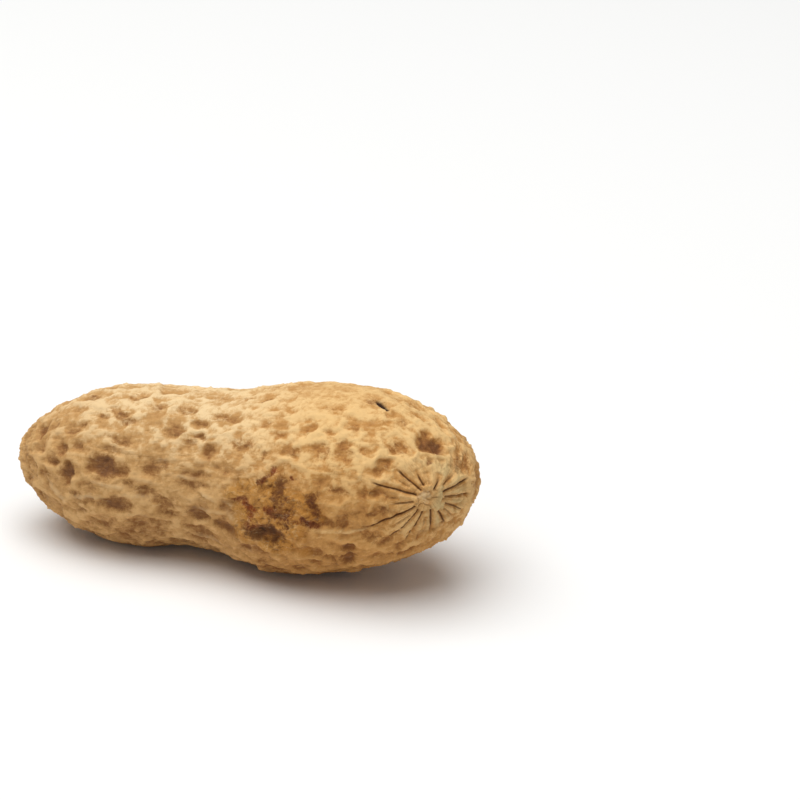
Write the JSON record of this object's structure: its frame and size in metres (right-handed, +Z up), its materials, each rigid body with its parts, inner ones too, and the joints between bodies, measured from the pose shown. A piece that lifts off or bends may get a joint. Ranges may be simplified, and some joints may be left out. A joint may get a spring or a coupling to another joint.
{
  "type": "peanut in its shell",
  "caption": "Whole peanut in its netted, waisted shell, lying on its side with its stem scar in view.",
  "frame": {"origin": "on the resting surface, under the middle of the nut", "axes": "+X along the nut from its beak to its stem end, +Z up; the stem scar is turned towards -Y"},
  "size_m": [0.0421, 0.0169, 0.0166],
  "materials": {
    "husk": "matt, fibrous"
  },
  "bodies": {
    "root": {"peanut_shell": "husk"}
  },
  "joints": []
}
